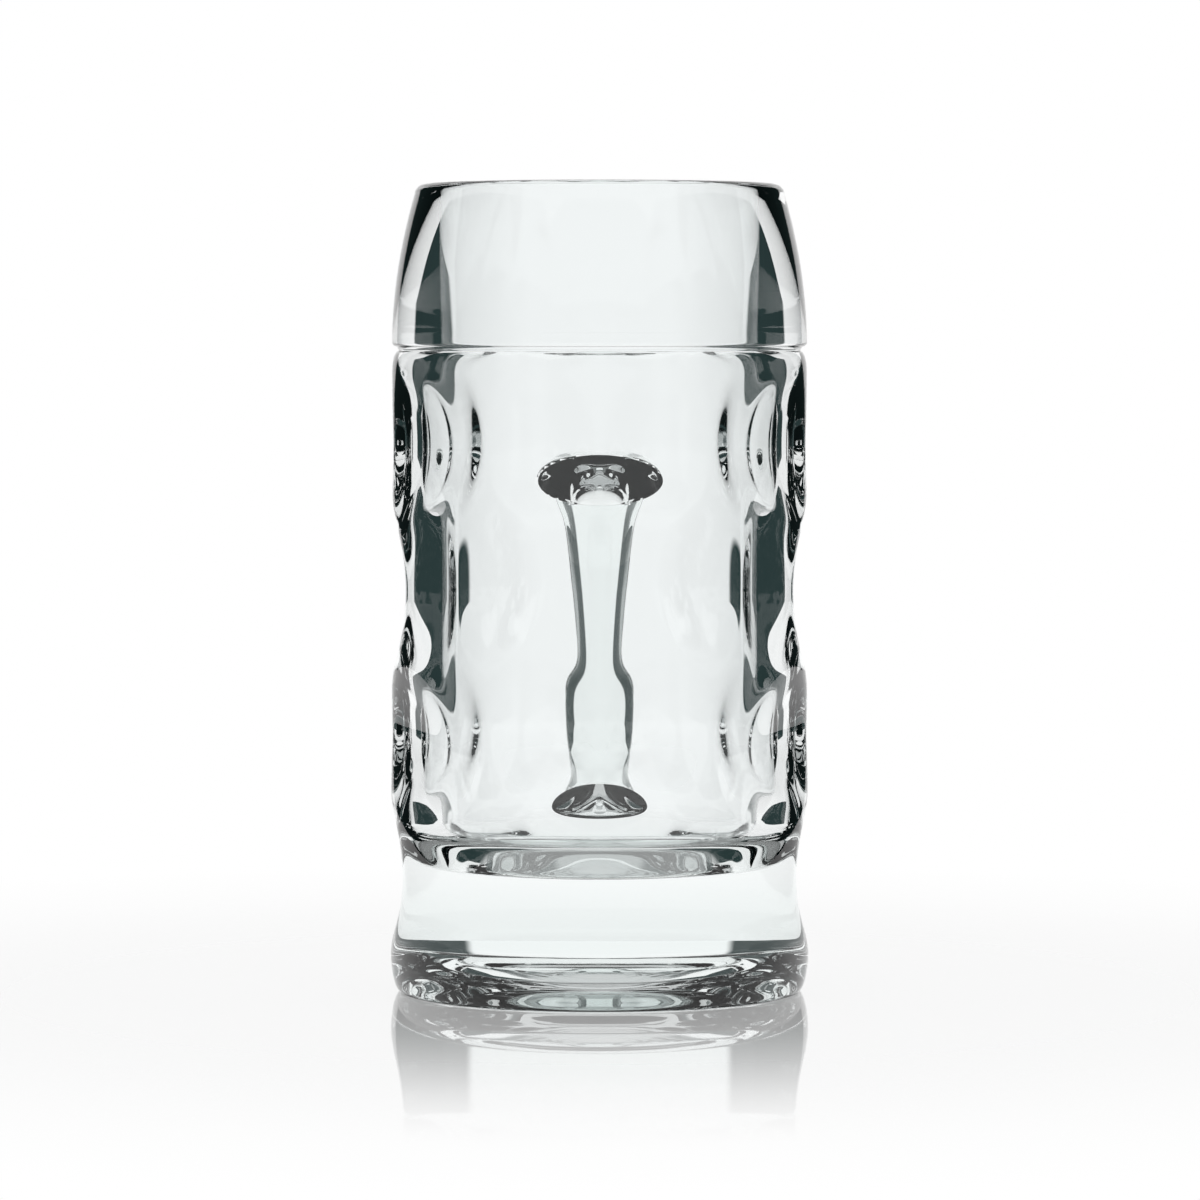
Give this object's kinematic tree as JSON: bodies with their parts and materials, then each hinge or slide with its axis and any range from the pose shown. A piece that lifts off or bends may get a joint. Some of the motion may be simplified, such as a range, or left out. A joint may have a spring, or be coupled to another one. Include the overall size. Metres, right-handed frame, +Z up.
{
  "type": "beer mug",
  "caption": "Clear pressed-glass beer mug: plain collar above a groove, staggered round hollows in a thick wall, smooth front, heavy base and a fused loop handle.",
  "frame": {"origin": "on the table plane, under the centre of the bounding box of mug and handle; the mug's own axis stands 20.6 mm from it towards -Y", "axes": "+Z up out of the mouth, the smooth front panel faces -Y, the handle stands out at +Y, +X to the right seen from the front"},
  "size_m": [0.0916, 0.1328, 0.176],
  "materials": {
    "clear_glass": "fire-polished clear soda-lime glass, faintly green in thick places",
    "handle_glass": "the same clear glass, drawn and fused on hot"
  },
  "bodies": {
    "root": {"mug_body": "clear_glass", "handle": "handle_glass"}
  },
  "joints": []
}
